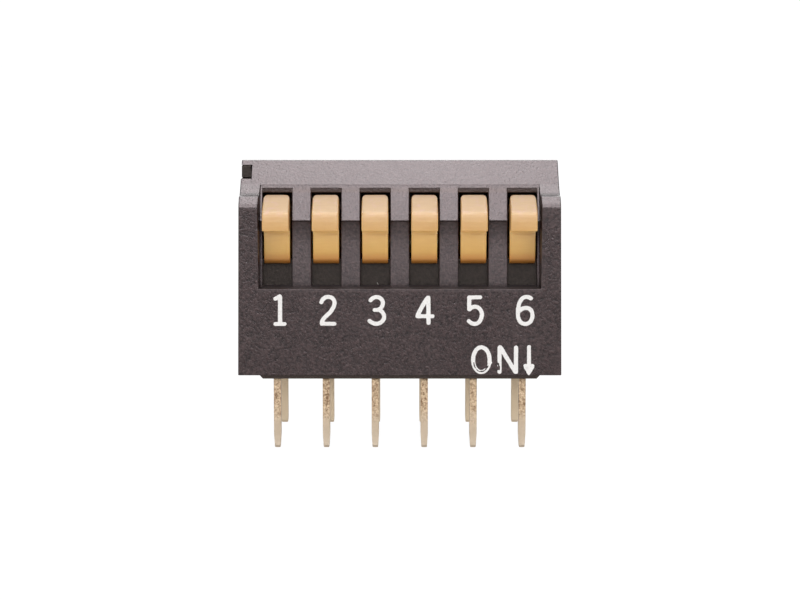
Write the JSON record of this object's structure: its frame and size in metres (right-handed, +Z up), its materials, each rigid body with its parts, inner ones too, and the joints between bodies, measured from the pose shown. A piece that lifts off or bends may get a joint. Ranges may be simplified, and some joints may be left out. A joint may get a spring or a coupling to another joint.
{
  "type": "dip switch",
  "caption": "Piano-type DIP switch for through-hole boards: a row of ivory keys in a dark moulded case, over two rows of solder pins.",
  "frame": {"origin": "centre of the seating plane, midway between the two pin rows", "axes": "+X to the right seen from the key side, along the pin rows; +Y away from the key side; +Z up from the board"},
  "size_m": [0.0166, 0.0098, 0.0149],
  "materials": {
    "cover": "moulded dark grey-brown thermoplastic with a fine spark-eroded grain",
    "base": "moulded black thermoplastic, plain",
    "key": "moulded ivory-yellow thermoplastic, satin",
    "spring": "drawn spring wire",
    "ball": "polished steel",
    "contact": "gold-plated copper alloy",
    "terminal": "plated copper alloy, sheared edges"
  },
  "bodies": {
    "housing": {"cover": "cover", "base": "base", "terminal_front_1": "terminal", "terminal_front_2": "terminal", "terminal_front_3": "terminal", "terminal_front_4": "terminal", "terminal_front_5": "terminal", "terminal_front_6": "terminal", "terminal_back_1": "terminal", "terminal_back_2": "terminal", "terminal_back_3": "terminal", "terminal_back_4": "terminal", "terminal_back_5": "terminal", "terminal_back_6": "terminal"},
    "key_1": {"lever_1": "key", "spring_1": "spring", "ball_1": "ball"},
    "key_2": {"lever_2": "key", "spring_2": "spring", "ball_2": "ball"},
    "key_3": {"lever_3": "key", "spring_3": "spring", "ball_3": "ball"},
    "key_4": {"lever_4": "key", "spring_4": "spring", "ball_4": "ball"},
    "key_5": {"lever_5": "key", "spring_5": "spring", "ball_5": "ball"},
    "key_6": {"lever_6": "key", "spring_6": "spring", "ball_6": "ball"},
    "rocker_1": {"contact_1": "contact"},
    "rocker_2": {"contact_2": "contact"},
    "rocker_3": {"contact_3": "contact"},
    "rocker_4": {"contact_4": "contact"},
    "rocker_5": {"contact_5": "contact"},
    "rocker_6": {"contact_6": "contact"}
  },
  "joints": [
    {"name": "key_swing_1", "type": "hinge", "parent": "housing", "child": "key_1", "pos_m": [-0.00635, 0, 0.0066], "axis": [1, 0, 0], "range_deg": [0, 15]},
    {"name": "key_swing_2", "type": "hinge", "parent": "housing", "child": "key_2", "pos_m": [-0.00381, 0, 0.0066], "axis": [1, 0, 0], "range_deg": [0, 15]},
    {"name": "key_swing_3", "type": "hinge", "parent": "housing", "child": "key_3", "pos_m": [-0.00127, 0, 0.0066], "axis": [1, 0, 0], "range_deg": [0, 15]},
    {"name": "key_swing_4", "type": "hinge", "parent": "housing", "child": "key_4", "pos_m": [0.00127, 0, 0.0066], "axis": [1, 0, 0], "range_deg": [0, 15]},
    {"name": "key_swing_5", "type": "hinge", "parent": "housing", "child": "key_5", "pos_m": [0.00381, 0, 0.0066], "axis": [1, 0, 0], "range_deg": [0, 15]},
    {"name": "key_swing_6", "type": "hinge", "parent": "housing", "child": "key_6", "pos_m": [0.00635, 0, 0.0066], "axis": [1, 0, 0], "range_deg": [0, 15]},
    {"name": "contact_rock_1", "type": "hinge", "parent": "housing", "child": "rocker_1", "pos_m": [-0.00635, 0, 0.00135], "axis": [1, 0, 0], "range_deg": [-10, 0]},
    {"name": "contact_rock_2", "type": "hinge", "parent": "housing", "child": "rocker_2", "pos_m": [-0.00381, 0, 0.00135], "axis": [1, 0, 0], "range_deg": [-10, 0]},
    {"name": "contact_rock_3", "type": "hinge", "parent": "housing", "child": "rocker_3", "pos_m": [-0.00127, 0, 0.00135], "axis": [1, 0, 0], "range_deg": [-10, 0]},
    {"name": "contact_rock_4", "type": "hinge", "parent": "housing", "child": "rocker_4", "pos_m": [0.00127, 0, 0.00135], "axis": [1, 0, 0], "range_deg": [-10, 0]},
    {"name": "contact_rock_5", "type": "hinge", "parent": "housing", "child": "rocker_5", "pos_m": [0.00381, 0, 0.00135], "axis": [1, 0, 0], "range_deg": [-10, 0]},
    {"name": "contact_rock_6", "type": "hinge", "parent": "housing", "child": "rocker_6", "pos_m": [0.00635, 0, 0.00135], "axis": [1, 0, 0], "range_deg": [-10, 0]}
  ],
  "couplings": [
    {"joint": "contact_rock_1", "follows": "key_swing_1", "ratio": -0.6666},
    {"joint": "contact_rock_2", "follows": "key_swing_2", "ratio": -0.6666},
    {"joint": "contact_rock_3", "follows": "key_swing_3", "ratio": -0.6666},
    {"joint": "contact_rock_4", "follows": "key_swing_4", "ratio": -0.6666},
    {"joint": "contact_rock_5", "follows": "key_swing_5", "ratio": -0.6666},
    {"joint": "contact_rock_6", "follows": "key_swing_6", "ratio": -0.6666}
  ]
}
